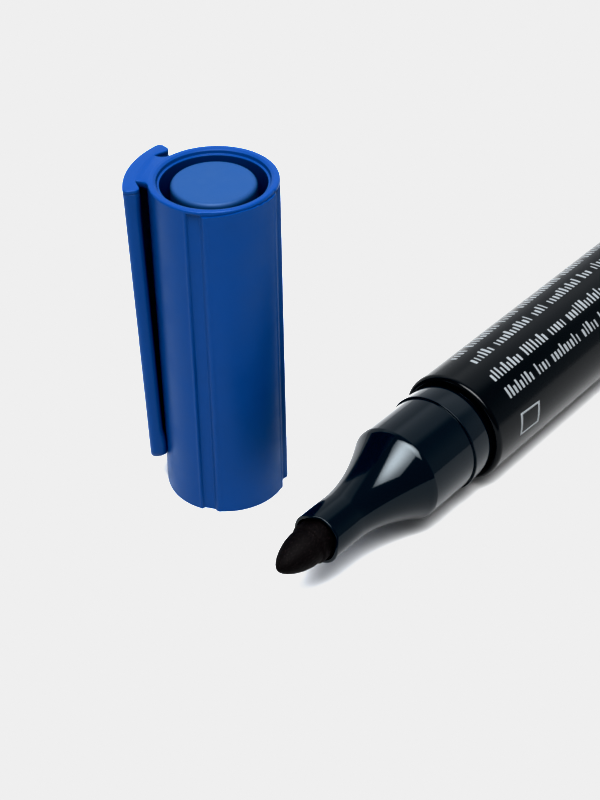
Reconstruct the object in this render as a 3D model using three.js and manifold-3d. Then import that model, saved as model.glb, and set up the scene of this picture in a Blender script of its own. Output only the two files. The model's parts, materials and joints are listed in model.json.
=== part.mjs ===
// A permanent marker with a bullet nib, lying on its barrel, and its cap standing mouth down beside it.
// Millimetres, +Z up. The marker's axis runs along X, nib towards -X. The origin is under the middle
// of the whole assembly, on the surface that it rests on.

import * as THREE from "three";
import { mergeVertices } from "three/addons/utils/BufferGeometryUtils.js";
import Module from "manifold-3d";

// Facets round each turned piece: a multiple of 4, so that a flat one faces each way.
const FACETS = 48;
const ARC_STEPS = 6;
const OVERRUN = 1; // how far a cut runs past what it cuts

// Clearances
const PRESS_GAP = 0.1; // spigots in the barrel's bore
const FIT_GAP = 0.2; // pieces that seat inside one another
const SPLIT_GAP = 0.3; // the cut where the clip starts to bend

// Barrel: a plain tube. Its front rim is at x = 0 in the marker's own frame.
const BARREL_RADIUS = 8.3;
const BARREL_WALL = 1.15;
const BARREL_LENGTH = 78;
const BARREL_EDGE = 0.25;
const BARREL_RIBS = 6;
const RIB_WIDTH = 0.8;
const BORE_RADIUS = BARREL_RADIUS - BARREL_WALL;

// Nose section: spigot, snap collar, straight part, concave cone and neck
const SPIGOT_LENGTH = 12;
const GROOVE_FLOOR_RADIUS = 6.7;
const COLLAR_GAP = 0.45; // from the barrel's rim to the collar
const COLLAR_RADIUS = 7.46; // at its front, where the cap snaps over it
const COLLAR_BACK_RADIUS = 7.26;
const COLLAR_LENGTH = 3.95;
const STEP_EDGE = 0.15;
const STRAIGHT_RADIUS = 7.2;
const STRAIGHT_LENGTH = 9;
const SHOULDER_ROUND = 0.5;
const SHOULDER_DROP = 0.15; // the cone starts this far inside the straight part
const CONE_LENGTH = 11;
const CONE_HOLLOW = 1.8; // how fast the cone flattens into the neck
const CONE_STEPS = 8;
const NECK_RADIUS = 3.64;
const NECK_LENGTH = 5.7;
const LIP_ROUND = 0.3;
const CHAMBER_WALL = 1.25;
const CHAMBER_CONE = 5;
const NOTCH_WIDTH = 5;
const NOTCH_DEPTH = 0.6;
const NOTCH_TURN = 125; // degrees from the level plane
const AIR_SLOTS = 4;
const AIR_SLOT_WIDTH = 0.8;
const AIR_SLOT_DEPTH = 0.5;

// Nib: a felt rod with a bullet front
const NIB_SHANK_RADIUS = 2.9;
const NIB_RADIUS = 2.6;
const NIB_SHOULDER_OUT = 1.2; // how far the wider shank stands out of the mouth
const NIB_CHAMFER = 0.3;
const NIB_BAND = 0.8; // the straight part between the shoulder and the bullet
const BULLET_LENGTH = 5.2;
const BULLET_FULLNESS = 1.5; // a larger value keeps it wide for longer
const BULLET_BLUNTNESS = 0.58; // a smaller value makes the tip blunter
const BULLET_STEPS = 10;
const NIB_REAR_RADIUS = 2.4;
const MOUTH_DEPTH = 6;
const NIB_SOAK_LENGTH = 8; // the rear of the nib that sits in the reservoir
const NIB_POINT = 1.4;
const NIB_POINT_RADIUS = 1.2;

// Ink reservoir: a fibre rod in a film sleeve
const FILM_THICKNESS = 0.15;
const FILM_GAP = 0.05;
const RESERVOIR_SETBACK = 5.5; // from the straight part's end to the reservoir's front
const RESERVOIR_REST = 2; // short of the end plug's stop ribs

// End plug: spigot in the barrel, and a tail that the cap can be pushed on
const TAIL_LENGTH = 10;
const TAIL_EDGE = 0.8;
const PLUG_SPIGOT_LENGTH = 8;
const PLUG_FLOOR = 1.5;
const PLUG_STOP_LENGTH = 5;
const PLUG_STOP_WIDTH = 0.9;

// Cap: an outer shell, open at both ends, with a closed cup held inside it
const CAP_LENGTH = 49;
const CAP_TOP_RADIUS = 8.5;
const CAP_MOUTH_RADIUS = 8.6;
const CAP_EDGE = 0.7;
const MOUTH_EDGE = 0.12;
const VENT_RADIUS = 7.05;
const VENT_STEP_WIDTH = 0.4;
const VENT_STEP_DEPTH = 0.35;
const CHANNELS = 3;
const CHANNEL_WIDTH = 2;
const CHANNEL_DEPTH = 0.27;
const CHANNEL_TOP = 1.1; // how far below the rim the channels end
const CUP_RADIUS = 5.64;
const CUP_WALL = 0.85;
const CUP_DROP = 0.6; // the cup's top lies this far below the rim
const CUP_EDGE = 0.44;
const CUP_SEAT_LIFT = 0.6; // the open lip clears the nose's cone by this much
const CUP_LIP_EDGE = 0.35;
const CUP_RIBS = 6;
const CUP_RIB_WIDTH = 0.9;
const CUP_RIB_HEIGHT = 12;
const CUP_RIB_LIFT = 2.5; // from the cup's lip
const CUP_RIB_TURN = 30; // degrees from the clip's side

// Clip: a curved plate that leans towards the cap, on a bridge at the rim
const CLIP_OUT = 11.5; // from the cap's axis to the plate's outer face, at the rim
const CLIP_THICKNESS = 1.7;
const CLIP_WIDTH = 13.2;
const CLIP_CURVE = 13.5;
const CLIP_LEAN = 0.95;
const CLIP_TIP_HEIGHT = 5.6;
const CLIP_CORNER = 0.45;
const CLIP_BEVEL = 0.4;
const CLIP_END_ROUND = 0.7;
const CLIP_ROOT_HEIGHT = 2.3;
const BRIDGE_WIDTH = 6.6;
const BRIDGE_THICKNESS = 1.6;
const BRIDGE_OVERLAP = 0.75;

// Where the cap stands, from the barrel's front rim, and where its clip points
const CAP_ALONG = -20.06;
const CAP_ASIDE = 24.84;
const CLIP_HEADING = 112.8;

// Places along the marker that several pieces share
const collarFront = -COLLAR_GAP - COLLAR_LENGTH;
const straightFront = collarFront - STRAIGHT_LENGTH;
const neckBack = straightFront - CONE_LENGTH;
const mouthX = neckBack - NECK_LENGTH;
const bulletBack = mouthX - NIB_SHOULDER_OUT - NIB_CHAMFER - NIB_BAND;
const reservoirFront = straightFront + RESERVOIR_SETBACK;
const tailEnd = BARREL_LENGTH + TAIL_LENGTH;
const plugStop = tailEnd - PLUG_FLOOR - PLUG_STOP_LENGTH;
const reservoirRear = plugStop - RESERVOIR_REST;
const chamberRadius = STRAIGHT_RADIUS - CHAMBER_WALL;
const filmRadius = chamberRadius - FIT_GAP;
const reservoirRadius = filmRadius - FILM_THICKNESS;
const nibBoreRadius = NIB_REAR_RADIUS + FIT_GAP;
const spigotRadius = BORE_RADIUS - PRESS_GAP;
const nibRear = reservoirFront + NIB_SOAK_LENGTH;

const wasm = await Module();
wasm.setup();

// A closed three.js geometry as a solid that can be cut and joined.
function solidFrom(geometry) {
  const bare = geometry.clone();
  bare.deleteAttribute("normal");
  bare.deleteAttribute("uv");
  const merged = mergeVertices(bare, 1e-4);
  return new wasm.Manifold(
    new wasm.Mesh({
      numProp: 3,
      vertProperties: merged.attributes.position.array,
      triVerts: new Uint32Array(merged.index.array),
    }),
  );
}

// A cut or joined solid as a three.js geometry.
function geometryFrom(solid) {
  const mesh = solid.getMesh();
  const geometry = new THREE.BufferGeometry();
  geometry.setAttribute("position", new THREE.BufferAttribute(mesh.vertProperties, 3));
  geometry.setIndex(new THREE.BufferAttribute(mesh.triVerts, 1));
  geometry.computeVertexNormals();
  return geometry;
}

// Points of an arc, from one angle to another in degrees, in the plane of a turned profile.
function arc(along, radius, round, from, to, steps = ARC_STEPS) {
  const points = [];
  for (let i = 0; i <= steps; i += 1) {
    const angle = THREE.MathUtils.degToRad(from + ((to - from) * i) / steps);
    points.push([along + round * Math.cos(angle), radius + round * Math.sin(angle)]);
  }
  return points;
}

// Turns a profile of [place along the axis, radius] points about Y, with a flat facet to each side.
function turned(profile) {
  const points = profile.map(([along, radius]) => new THREE.Vector2(radius, along));
  return new THREE.LatheGeometry(points, FACETS, Math.PI / FACETS, 2 * Math.PI);
}

const turnedAlongX = (profile) => turned(profile).rotateZ(-Math.PI / 2);
const turnedAlongZ = (profile) => turned(profile).rotateX(Math.PI / 2);

// A box between two corners.
function boxBetween(low, high) {
  const size = high.map((value, i) => value - low[i]);
  const middle = high.map((value, i) => (value + low[i]) / 2);
  return new THREE.BoxGeometry(...size).translate(...middle);
}

// Copies of one geometry, spread evenly about an axis, as solids.
function aroundAxis(geometry, count, turn, first = 0) {
  const copies = [];
  for (let i = 0; i < count; i += 1) {
    const angle = THREE.MathUtils.degToRad(first) + (2 * Math.PI * i) / count;
    copies.push(solidFrom(geometry.clone()[turn](angle)));
  }
  return copies;
}

const joinAll = (solid, others) => others.reduce((sum, other) => sum.add(other), solid);
const cutAll = (solid, others) => others.reduce((rest, other) => rest.subtract(other), solid);

function makeBarrel() {
  const tube = turnedAlongX([
    [0, BORE_RADIUS + BARREL_EDGE],
    [0, BARREL_RADIUS - BARREL_EDGE],
    [BARREL_EDGE, BARREL_RADIUS],
    [BARREL_LENGTH - BARREL_EDGE, BARREL_RADIUS],
    [BARREL_LENGTH, BARREL_RADIUS - BARREL_EDGE],
    [BARREL_LENGTH, BORE_RADIUS],
    [BARREL_EDGE, BORE_RADIUS],
    [0, BORE_RADIUS + BARREL_EDGE],
  ]);
  // Ribs in the bore keep the reservoir central and let air pass.
  const ribFront = SPIGOT_LENGTH + FIT_GAP;
  const ribRear = BARREL_LENGTH - PLUG_SPIGOT_LENGTH - FIT_GAP;
  const rib = boxBetween(
    [ribFront, -RIB_WIDTH / 2, chamberRadius],
    [ribRear, RIB_WIDTH / 2, BORE_RADIUS + BARREL_WALL / 2],
  );
  return geometryFrom(joinAll(solidFrom(tube), aroundAxis(rib, BARREL_RIBS, "rotateX")));
}

// Outer radius of the concave cone, a share of the way from the neck to the shoulder.
function coneRadius(share) {
  const shoulder = STRAIGHT_RADIUS - SHOULDER_DROP;
  return NECK_RADIUS + (shoulder - NECK_RADIUS) * share ** CONE_HOLLOW;
}

function makeNoseSection() {
  const cone = [];
  for (let i = 0; i <= CONE_STEPS; i += 1) {
    const share = i / CONE_STEPS;
    cone.push([neckBack + CONE_LENGTH * share, coneRadius(share)]);
  }
  const mouthRadius = NIB_SHANK_RADIUS + FIT_GAP;
  const body = turnedAlongX([
    [mouthX, mouthRadius],
    ...arc(mouthX + LIP_ROUND, NECK_RADIUS - LIP_ROUND, LIP_ROUND, 180, 90),
    ...cone,
    [straightFront + SHOULDER_ROUND, STRAIGHT_RADIUS],
    [collarFront, STRAIGHT_RADIUS],
    [collarFront, COLLAR_RADIUS - STEP_EDGE],
    [collarFront + STEP_EDGE, COLLAR_RADIUS],
    [-COLLAR_GAP - STEP_EDGE, COLLAR_BACK_RADIUS],
    [-COLLAR_GAP, COLLAR_BACK_RADIUS - STEP_EDGE],
    [-COLLAR_GAP, GROOVE_FLOOR_RADIUS],
    [BARREL_EDGE, GROOVE_FLOOR_RADIUS],
    [BARREL_EDGE, spigotRadius],
    [SPIGOT_LENGTH - STEP_EDGE, spigotRadius],
    [SPIGOT_LENGTH, spigotRadius - STEP_EDGE],
    [SPIGOT_LENGTH, chamberRadius],
    [straightFront, chamberRadius],
    [straightFront - CHAMBER_CONE, nibBoreRadius],
    [mouthX + MOUTH_DEPTH, nibBoreRadius],
    [mouthX + MOUTH_DEPTH, mouthRadius],
    [mouthX, mouthRadius],
  ]);
  // Two notches in the lip and four slots along the nib's bore let air in as ink runs out.
  const notch = boxBetween(
    [mouthX - OVERRUN, -NECK_RADIUS - OVERRUN, -NOTCH_WIDTH / 2],
    [mouthX + NOTCH_DEPTH, NECK_RADIUS + OVERRUN, NOTCH_WIDTH / 2],
  ).rotateX(THREE.MathUtils.degToRad(NOTCH_TURN));
  const slot = boxBetween(
    [mouthX + MOUTH_DEPTH - FIT_GAP, -AIR_SLOT_WIDTH / 2, 0],
    [straightFront, AIR_SLOT_WIDTH / 2, nibBoreRadius + AIR_SLOT_DEPTH],
  );
  const cuts = [solidFrom(notch), ...aroundAxis(slot, AIR_SLOTS, "rotateX")];
  return geometryFrom(cutAll(solidFrom(body), cuts));
}

function makeNib() {
  const bullet = [];
  for (let i = 0; i <= BULLET_STEPS; i += 1) {
    const share = Math.cos((Math.PI / 2) * (i / BULLET_STEPS));
    const radius = NIB_RADIUS * (1 - share ** BULLET_FULLNESS) ** BULLET_BLUNTNESS;
    bullet.push([bulletBack - BULLET_LENGTH * share, radius]);
  }
  return turnedAlongX([
    ...bullet,
    [bulletBack + NIB_BAND, NIB_RADIUS],
    [bulletBack + NIB_BAND + NIB_CHAMFER, NIB_SHANK_RADIUS],
    [mouthX + MOUTH_DEPTH - FIT_GAP, NIB_SHANK_RADIUS],
    [mouthX + MOUTH_DEPTH - FIT_GAP, NIB_REAR_RADIUS],
    [nibRear - NIB_POINT, NIB_REAR_RADIUS],
    [nibRear, NIB_POINT_RADIUS],
    [nibRear, 0],
  ]);
}

function makeReservoir() {
  const socketEnd = nibRear + FIT_GAP;
  return turnedAlongX([
    [reservoirFront, nibBoreRadius],
    [reservoirFront, reservoirRadius],
    [reservoirRear, reservoirRadius],
    [reservoirRear, 0],
    [socketEnd, 0],
    [socketEnd, nibBoreRadius],
    [reservoirFront, nibBoreRadius],
  ]);
}

function makeFilm() {
  const inner = reservoirRadius + FILM_GAP;
  return turnedAlongX([
    [reservoirFront, inner],
    [reservoirFront, filmRadius],
    [reservoirRear, filmRadius],
    [reservoirRear, inner],
    [reservoirFront, inner],
  ]);
}

function makeEndPlug() {
  const spigotFront = BARREL_LENGTH - PLUG_SPIGOT_LENGTH;
  const shoulder = BARREL_LENGTH + FIT_GAP;
  const floor = tailEnd - PLUG_FLOOR;
  const body = turnedAlongX([
    [spigotFront, chamberRadius],
    [spigotFront, spigotRadius - STEP_EDGE],
    [spigotFront + STEP_EDGE, spigotRadius],
    [shoulder, spigotRadius],
    [shoulder, COLLAR_RADIUS],
    ...arc(tailEnd - TAIL_EDGE, COLLAR_RADIUS - TAIL_EDGE, TAIL_EDGE, 90, 0),
    [tailEnd, 0],
    [floor, 0],
    [floor, chamberRadius],
    [spigotFront, chamberRadius],
  ]);
  // A cross of stop ribs holds the reservoir forward.
  const rib = boxBetween(
    [plugStop, -chamberRadius - CHAMBER_WALL / 2, -PLUG_STOP_WIDTH / 2],
    [floor + PLUG_FLOOR / 2, chamberRadius + CHAMBER_WALL / 2, PLUG_STOP_WIDTH / 2],
  );
  return geometryFrom(joinAll(solidFrom(body), aroundAxis(rib, 4, "rotateX")));
}

// The cap's bore: it fits the snap collar at the mouth and narrows to the vent hole at the rim.
const capBoreMouth = COLLAR_RADIUS + PRESS_GAP;
const capBoreRadius = (z) => capBoreMouth + ((VENT_RADIUS - capBoreMouth) * z) / CAP_LENGTH;

// The clip's plate, before the cut that sets its bending part free.
function makeClipPlate() {
  const centre = CLIP_OUT - CLIP_CURVE;
  const corner = CLIP_CORNER;
  const half = Math.asin((CLIP_WIDTH / 2 - CLIP_BEVEL) / CLIP_CURVE);
  const outer = CLIP_CURVE - CLIP_BEVEL;
  const inner = CLIP_CURVE - CLIP_THICKNESS + CLIP_BEVEL;
  const trim = corner / CLIP_CURVE;
  const shape = new THREE.Shape();
  shape.absarc(centre, 0, outer, -half + trim, half - trim, false);
  const at = (radius, angle) => [centre + radius * Math.cos(angle), radius * Math.sin(angle)];
  shape.quadraticCurveTo(...at(outer, half), ...at(outer - corner, half));
  shape.lineTo(...at(inner + corner, half));
  shape.quadraticCurveTo(...at(inner, half), ...at(inner, half - trim));
  shape.absarc(centre, 0, inner, half - trim, -half + trim, true);
  shape.quadraticCurveTo(...at(inner, -half), ...at(inner + corner, -half));
  shape.lineTo(...at(outer - corner, -half));
  shape.quadraticCurveTo(...at(outer, -half), ...at(outer, -half + trim));
  const plate = new THREE.ExtrudeGeometry(shape, {
    depth: CAP_LENGTH - CLIP_TIP_HEIGHT - 2 * CLIP_END_ROUND,
    bevelThickness: CLIP_END_ROUND,
    bevelSize: CLIP_BEVEL,
    bevelSegments: 3,
    curveSegments: ARC_STEPS * 2,
  });
  plate.translate(0, 0, CLIP_TIP_HEIGHT + CLIP_END_ROUND - CAP_LENGTH);
  // It leans towards the cap on the way down.
  const slope = CLIP_LEAN / (CAP_LENGTH - CLIP_TIP_HEIGHT);
  plate.applyMatrix4(new THREE.Matrix4().makeShear(0, 0, 0, 0, slope, 0));
  return solidFrom(plate.translate(0, 0, CAP_LENGTH));
}

// A block that holds everything on the clip's side between two heights.
const clipSlab = (low, high) =>
  solidFrom(boxBetween([0, -CLIP_WIDTH, low], [2 * CLIP_OUT, CLIP_WIDTH, high]));

const clipCut = CAP_LENGTH - CLIP_ROOT_HEIGHT;

function makeCapShell() {
  const stepRadius = VENT_RADIUS + VENT_STEP_WIDTH;
  const shell = turnedAlongZ([
    [0, capBoreMouth + MOUTH_EDGE],
    [MOUTH_EDGE, capBoreMouth],
    [CAP_LENGTH - VENT_STEP_DEPTH, capBoreRadius(CAP_LENGTH)],
    [CAP_LENGTH, stepRadius],
    ...arc(CAP_LENGTH - CAP_EDGE, CAP_TOP_RADIUS - CAP_EDGE, CAP_EDGE, 0, 90),
    [MOUTH_EDGE, CAP_MOUTH_RADIUS],
    [0, CAP_MOUTH_RADIUS - MOUTH_EDGE],
    [0, capBoreMouth + MOUTH_EDGE],
  ].reverse());
  const bridge = boxBetween(
    [CAP_TOP_RADIUS - BRIDGE_OVERLAP, -BRIDGE_WIDTH / 2, CAP_LENGTH - BRIDGE_THICKNESS],
    [CLIP_OUT - CLIP_THICKNESS / 2, BRIDGE_WIDTH / 2, CAP_LENGTH],
  );
  const root = makeClipPlate().intersect(clipSlab(clipCut, CAP_LENGTH));
  // Shallow channels run from the mouth to just below the rim.
  const channel = boxBetween(
    [CAP_TOP_RADIUS - CHANNEL_DEPTH, -CHANNEL_WIDTH / 2, -OVERRUN],
    [CAP_MOUTH_RADIUS + OVERRUN, CHANNEL_WIDTH / 2, CAP_LENGTH - CHANNEL_TOP],
  );
  const channels = [];
  for (let i = 1; i <= CHANNELS; i += 1) {
    const angle = (2 * Math.PI * i) / (CHANNELS + 1);
    channels.push(solidFrom(channel.clone().rotateZ(angle)));
  }
  const body = cutAll(solidFrom(shell), channels);
  return geometryFrom(body.add(solidFrom(bridge)).add(root));
}

function makeClipArm() {
  const arm = makeClipPlate().intersect(clipSlab(0, clipCut - SPLIT_GAP));
  return geometryFrom(arm);
}

// With the cap on, its mouth meets the barrel's rim, so a height in the cap is a place on the nose.
function cupLipHeight() {
  const inner = CUP_RADIUS - CUP_WALL;
  const share = ((inner - NECK_RADIUS) / (coneRadius(1) - NECK_RADIUS)) ** (1 / CONE_HOLLOW);
  return -(neckBack + CONE_LENGTH * share) + CUP_SEAT_LIFT;
}

function makeCapInnerCup() {
  const top = CAP_LENGTH - CUP_DROP;
  const lip = cupLipHeight();
  const inner = CUP_RADIUS - CUP_WALL;
  const cup = turnedAlongZ([
    [lip, inner + CUP_LIP_EDGE],
    [lip, CUP_RADIUS],
    ...arc(top - CUP_EDGE, CUP_RADIUS - CUP_EDGE, CUP_EDGE, 90, 0),
    [top, 0],
    [top - CUP_WALL, 0],
    [top - CUP_WALL, inner],
    [lip + CUP_LIP_EDGE, inner],
    [lip, inner + CUP_LIP_EDGE],
  ]);
  const ribLow = lip + CUP_RIB_LIFT;
  const ribHigh = ribLow + CUP_RIB_HEIGHT;
  const rib = boxBetween(
    [inner + CUP_WALL / 2, -CUP_RIB_WIDTH / 2, ribLow],
    [capBoreRadius(ribHigh) - FIT_GAP, CUP_RIB_WIDTH / 2, ribHigh],
  );
  return geometryFrom(joinAll(solidFrom(cup), aroundAxis(rib, CUP_RIBS, "rotateZ", CUP_RIB_TURN)));
}

function plastic(color, roughness) {
  return new THREE.MeshStandardMaterial({ color, roughness, metalness: 0 });
}

// One named mesh, with its own finish.
function piece(name, geometry, material) {
  const mesh = new THREE.Mesh(geometry, material);
  mesh.name = name;
  return mesh;
}

const marker = new THREE.Group();
marker.add(
  piece("barrel", makeBarrel(), plastic("#17181c", 0.35)),
  piece("nose_section", makeNoseSection(), plastic("#0b1016", 0.15)),
  piece("nib", makeNib(), plastic("#0d090c", 0.95)),
  piece("ink_reservoir", makeReservoir(), plastic("#1c1c22", 1)),
  piece("reservoir_film", makeFilm(), plastic("#c9ccd2", 0.3)),
  piece("end_plug", makeEndPlug(), plastic("#0b3f9c", 0.4)),
);

const cap = new THREE.Group();
cap.add(
  piece("cap_shell", makeCapShell(), plastic("#0b3f9c", 0.4)),
  piece("cap_inner_cup", makeCapInnerCup(), plastic("#0b3f9c", 0.45)),
  piece("clip_arm", makeClipArm(), plastic("#0b3f9c", 0.4)),
);
cap.position.set(CAP_ALONG, CAP_ASIDE, 0);
cap.rotation.z = THREE.MathUtils.degToRad(CLIP_HEADING);

// The barrel lies on a facet, so its axis is one apothem up.
marker.position.z = BARREL_RADIUS * Math.cos(Math.PI / FACETS);

const assembly = new THREE.Group();
assembly.add(marker, cap);
const box = new THREE.Box3().setFromObject(assembly, true);
const middle = box.getCenter(new THREE.Vector3());
assembly.position.set(-middle.x, -middle.y, -box.min.z);

const group = new THREE.Group();
group.add(assembly);

export default group;
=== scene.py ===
# %% [markdown]
# # A permanent marker beside its cap
#
# The marker is a few mouldings pressed into an extruded tube: barrel, nose, felt nib, end plug. The cap
# is an outer shell with a clip and a seal cup held inside it. Almost every piece is turned about an
# axis, so this lesson builds its own small lathe and uses Geometry Nodes for whatever repeats.
#
# The CAD model fixes every size. It is loaded first and never moved; each piece made here takes the
# place of one CAD solid and rides on the same body.

import json
import math

import bmesh
import bpy
import numpy as np
from mathutils import Matrix, Vector, noise


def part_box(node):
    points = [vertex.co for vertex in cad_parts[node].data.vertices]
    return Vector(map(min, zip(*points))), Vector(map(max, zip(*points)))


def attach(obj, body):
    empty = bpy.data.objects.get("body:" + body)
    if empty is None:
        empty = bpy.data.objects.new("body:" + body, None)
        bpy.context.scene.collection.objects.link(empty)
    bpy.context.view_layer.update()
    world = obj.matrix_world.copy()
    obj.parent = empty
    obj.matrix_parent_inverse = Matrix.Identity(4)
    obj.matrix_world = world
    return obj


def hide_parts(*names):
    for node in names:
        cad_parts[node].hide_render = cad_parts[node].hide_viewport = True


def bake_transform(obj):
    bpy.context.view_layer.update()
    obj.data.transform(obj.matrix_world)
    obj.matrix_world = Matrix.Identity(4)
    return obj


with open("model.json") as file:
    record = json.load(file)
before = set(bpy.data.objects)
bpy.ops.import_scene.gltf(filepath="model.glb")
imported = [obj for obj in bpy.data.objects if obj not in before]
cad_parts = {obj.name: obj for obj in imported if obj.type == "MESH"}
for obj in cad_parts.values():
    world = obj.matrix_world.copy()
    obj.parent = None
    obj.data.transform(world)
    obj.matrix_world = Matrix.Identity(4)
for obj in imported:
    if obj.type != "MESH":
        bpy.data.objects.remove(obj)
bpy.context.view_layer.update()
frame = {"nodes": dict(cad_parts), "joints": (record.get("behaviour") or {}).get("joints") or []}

# %% [markdown]
# ## Two drawing boards
#
# A lathe is easiest to use along its own Z axis, in millimetres. So the marker and the cap each get a
# drawing board: a matrix that carries a finished mesh from there to its place in the frame, in metres.
# Both are read off the CAD boxes, so that nothing has to be fitted by hand. On the marker's board Z runs
# from the barrel's front rim to the tail, X points to the far side and Y points up. On the cap's board
# Z runs up from the table and X points to the clip.

# %% The marker's board and the cap's board
MM = 0.001


def board(origin, x, y, z):
    """The matrix that carries millimetres along x, y and z, from the origin, to metres in the frame."""
    turn = Matrix((x, y, z)).transposed().to_4x4()
    return Matrix.Translation(origin) @ turn @ Matrix.Scale(MM, 4)


low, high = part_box("barrel")
BARREL_RADIUS = (high.z - low.z) / 2 / MM
BARREL_LENGTH = (high.x - low.x) / MM
MARKER = board(
    Vector((low.x, (low.y + high.y) / 2, BARREL_RADIUS * MM)),
    Vector((0, 1, 0)),
    Vector((0, 0, 1)),
    Vector((1, 0, 0)),
)

low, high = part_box("cap_inner_cup")
hinge = next(joint for joint in frame["joints"] if joint["name"] == "clip_flex")["axis"]
clip_way = Vector((-hinge[1], hinge[0], 0)).normalized()
CAP = board(
    Vector(((low.x + high.x) / 2, (low.y + high.y) / 2, 0)),
    clip_way,
    Vector((0, 0, 1)).cross(clip_way),
    Vector((0, 0, 1)),
)
CAP_HEIGHT = (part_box("cap_shell")[1].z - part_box("cap_shell")[0].z) / MM
print(f"barrel {2 * BARREL_RADIUS:.2f} x {BARREL_LENGTH:.1f} mm, cap {CAP_HEIGHT:.1f} mm high")

# %% [markdown]
# ## The lathe
#
# A moulded or turned piece is one profile swung about an axis. The Screw modifier could do it, but a
# moulding isn't perfectly round everywhere: the nose has a scalloped lip and the cap has channels. So
# the lathe below places every point itself and lets a function of the angle move it. Sharp corners of
# real plastic always have a small radius, which catches the light as a thin line. `rounded` puts a
# radius on each corner of a profile, and a second point close beside each arc, so that the shading
# of the long faces stays flat right up to the edge.

# %% Profiles with rounded corners
ARC_STEPS = 5
GUARD = 0.12  # the second point lies this far from each arc
GUARD_ROOM = 3  # and only a side this many times as long as the arc's reach gets it
SIDE_SHARE = 0.45  # an arc takes up at most this share of the shorter side beside it


def rounded(corners, closed=True):
    """(along, radius, corner radius) corners as profile points, with an arc and two guard points each."""
    points = []
    for i, (along, radius, corner) in enumerate(corners):
        here = np.array([along, radius], float)
        if corner == 0 or (not closed and i in (0, len(corners) - 1)):
            points.append(here)
            continue
        back = np.array(corners[i - 1][:2], float) - here
        on = np.array(corners[(i + 1) % len(corners)][:2], float) - here
        room = [np.linalg.norm(back), np.linalg.norm(on)]
        back, on = back / room[0], on / room[1]
        half = math.acos(np.clip(back @ on, -1, 1)) / 2
        reach = min(corner / math.tan(half), SIDE_SHARE * min(room))
        radius = reach * math.tan(half)
        middle = here + (back + on) / np.linalg.norm(back + on) * radius / math.sin(half)
        start, end = here + back * reach - middle, here + on * reach - middle
        turn = math.atan2(start[0] * end[1] - start[1] * end[0], start @ end)
        if room[0] > GUARD_ROOM * reach + GUARD:
            points.append(here + back * (reach + GUARD))
        for step in range(ARC_STEPS + 1):
            a = turn * step / ARC_STEPS
            c, s = math.cos(a), math.sin(a)
            points.append(middle + np.array([start[0] * c - start[1] * s, start[0] * s + start[1] * c]))
        if room[1] > GUARD_ROOM * reach + GUARD:
            points.append(here + on * (reach + GUARD))
    return [(float(a), max(float(r), 0.0)) for a, r in points]


# %% Points to a finished mesh
SHARP = math.radians(38)  # edges that turn more than this stay crisp
TINY = 1e-6  # mm, too little to count


def finished(name, vertices, faces, place):
    """A mesh object from points on a board, smooth shaded, with its faces outwards."""
    mesh = bpy.data.meshes.new(name)
    mesh.from_pydata([tuple(v) for v in vertices], [], faces)
    mesh.validate()
    skin = bmesh.new()
    skin.from_mesh(mesh)
    bmesh.ops.recalc_face_normals(skin, faces=skin.faces)
    skin.to_mesh(mesh)
    skin.free()
    mesh.transform(place)
    mesh.shade_smooth()
    mesh.set_sharp_from_angle(angle=SHARP)
    piece = bpy.data.objects.new(name, mesh)
    bpy.context.scene.collection.objects.link(piece)
    return piece


def lathe(name, profile, place, angles=192, shape=None, closed=True):
    """Swings a profile about the board's Z axis. shape(along, radius, angle) may move any point.
    A profile runs so that the solid lies on its left, seen with the axis pointing right."""
    if isinstance(angles, int):
        angles = [2 * math.pi * i / angles for i in range(angles)]
    shape = shape or (lambda along, radius, angle: (along, radius))
    vertices, rows = [], []
    for along, radius in profile:
        if radius < TINY:
            rows.append([len(vertices)])
            vertices.append((0, 0, along))
            continue
        rows.append(range(len(vertices), len(vertices) + len(angles)))
        for angle in angles:
            a, r = shape(along, radius, angle)
            vertices.append((r * math.cos(angle), r * math.sin(angle), a))
    faces = []
    pairs = list(zip(rows, rows[1:] + rows[:1]))
    for one, two in pairs if closed else pairs[:-1]:
        for i in range(len(angles)):
            j = (i + 1) % len(angles)
            if len(one) > 1 and len(two) > 1:
                faces.append((one[i], one[j], two[j], two[i]))
            elif len(one) > 1:
                faces.append((one[i], one[j], two[0]))
            elif len(two) > 1:
                faces.append((one[0], two[j], two[i]))
    return finished(name, vertices, faces, place)


def opened(profile):
    """A closed profile that runs along the axis, cut open there."""
    first = next(i for i, point in enumerate(profile) if point[1] == 0) + 1
    return profile[first:] + profile[:first]


def ease(value, start, end):
    """0 before start, 1 after end, and smooth between them."""
    share = min(max((value - start) / (end - start), 0), 1)
    return share * share * (3 - 2 * share)


# %% [markdown]
# ## Materials from what the real ones are
#
# Nearly everything here is polypropylene, which is what such markers are made of. One plastic gives
# several finishes: the nose comes from a polished mould, the cap from a mould with a satin surface, and
# the barrel from an extrusion die that leaves faint lines along it. What tells them apart is roughness
# and a very small relief, so each gets its own noise at a size in millimetres.

# %% Colour and node helpers
def linear(hex_colour):
    """An sRGB hex colour as the linear RGBA that the shaders work in."""
    parts = [int(hex_colour[i : i + 2], 16) / 255 for i in (1, 3, 5)]
    return tuple(c / 12.92 if c <= 0.04045 else ((c + 0.055) / 1.055) ** 2.4 for c in parts) + (1,)


def add(tree, kind, inputs=None, **settings):
    """Adds one node, with its settings. An input is a value, a socket, a node, which stands for its
    first output, or a list of sockets and nodes."""
    node = tree.nodes.new(kind)
    for key, value in settings.items():
        setattr(node, key, value)
    for key, value in (inputs or {}).items():
        for item in reversed(value) if isinstance(value, list) else [value]:
            if isinstance(item, bpy.types.Node):
                item = item.outputs[0]
            if isinstance(item, bpy.types.NodeSocket):
                tree.links.new(item, node.inputs[key])
            else:
                node.inputs[key].default_value = item
    return node


def per_mm(size):
    """The noise scale that makes a pattern of this size, in mm, on Object coordinates, which are in m."""
    return 1 / (size * MM)


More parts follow.
